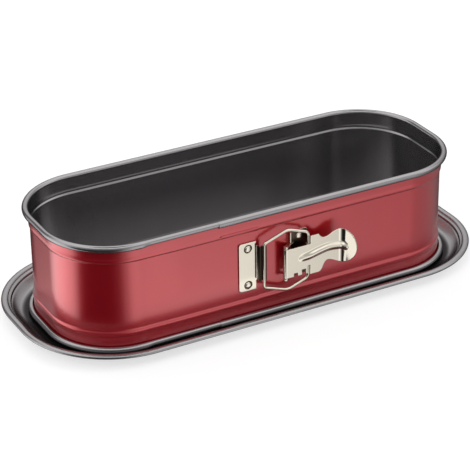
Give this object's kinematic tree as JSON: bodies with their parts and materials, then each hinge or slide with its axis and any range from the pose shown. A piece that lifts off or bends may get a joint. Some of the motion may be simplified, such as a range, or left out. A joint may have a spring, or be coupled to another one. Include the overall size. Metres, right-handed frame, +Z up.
{
  "type": "springform loaf pan",
  "caption": "Long round-cornered springform loaf pan: a beaded steel ring closed by a toggle latch with a wire bail, standing in a loose base tray with a wide rolled rim.",
  "frame": {"origin": "the middle of the tray's underside, on the surface that the pan stands on", "axes": "+X along the pan's length, -Y out of the side that carries the latch, +Z up"},
  "size_m": [0.3406, 0.1564, 0.0796],
  "materials": {
    "ring_lacquer": "translucent red lacquer over steel outside, dark non-stick coating inside and on the rolled edges",
    "tray_coating": "satin graphite-grey non-stick coating on steel",
    "latch_nickel": "bright nickel-plated steel"
  },
  "bodies": {
    "tray": {"base_plate": "tray_coating"},
    "ring": {"side_wall": "ring_lacquer", "catch_plate": "latch_nickel", "catch_rivet_upper": "latch_nickel", "catch_rivet_lower": "latch_nickel", "lever_bracket": "latch_nickel", "bracket_rivet_upper": "latch_nickel", "bracket_rivet_lower": "latch_nickel", "lever_hinge_pin": "latch_nickel"},
    "lever": {"lever": "latch_nickel"},
    "bail": {"bail": "latch_nickel"}
  },
  "joints": [
    {"name": "ring_lift", "type": "slide", "parent": "tray", "child": "ring", "axis": [0, 0, 1], "range_m": [0, 0.12]},
    {"name": "lever_swing", "type": "hinge", "parent": "ring", "child": "lever", "pos_m": [0.0009, -0.06128, 0.04015], "axis": [0, 0, -1], "range_deg": [0, 150]},
    {"name": "bail_swing", "type": "hinge", "parent": "lever", "child": "bail", "pos_m": [0.01855, -0.06095, 0.04015], "axis": [0, 0, -1], "range_deg": [-150, 0]}
  ],
  "couplings": [
    {"joint": "bail_swing", "follows": "lever_swing", "ratio": -1}
  ]
}
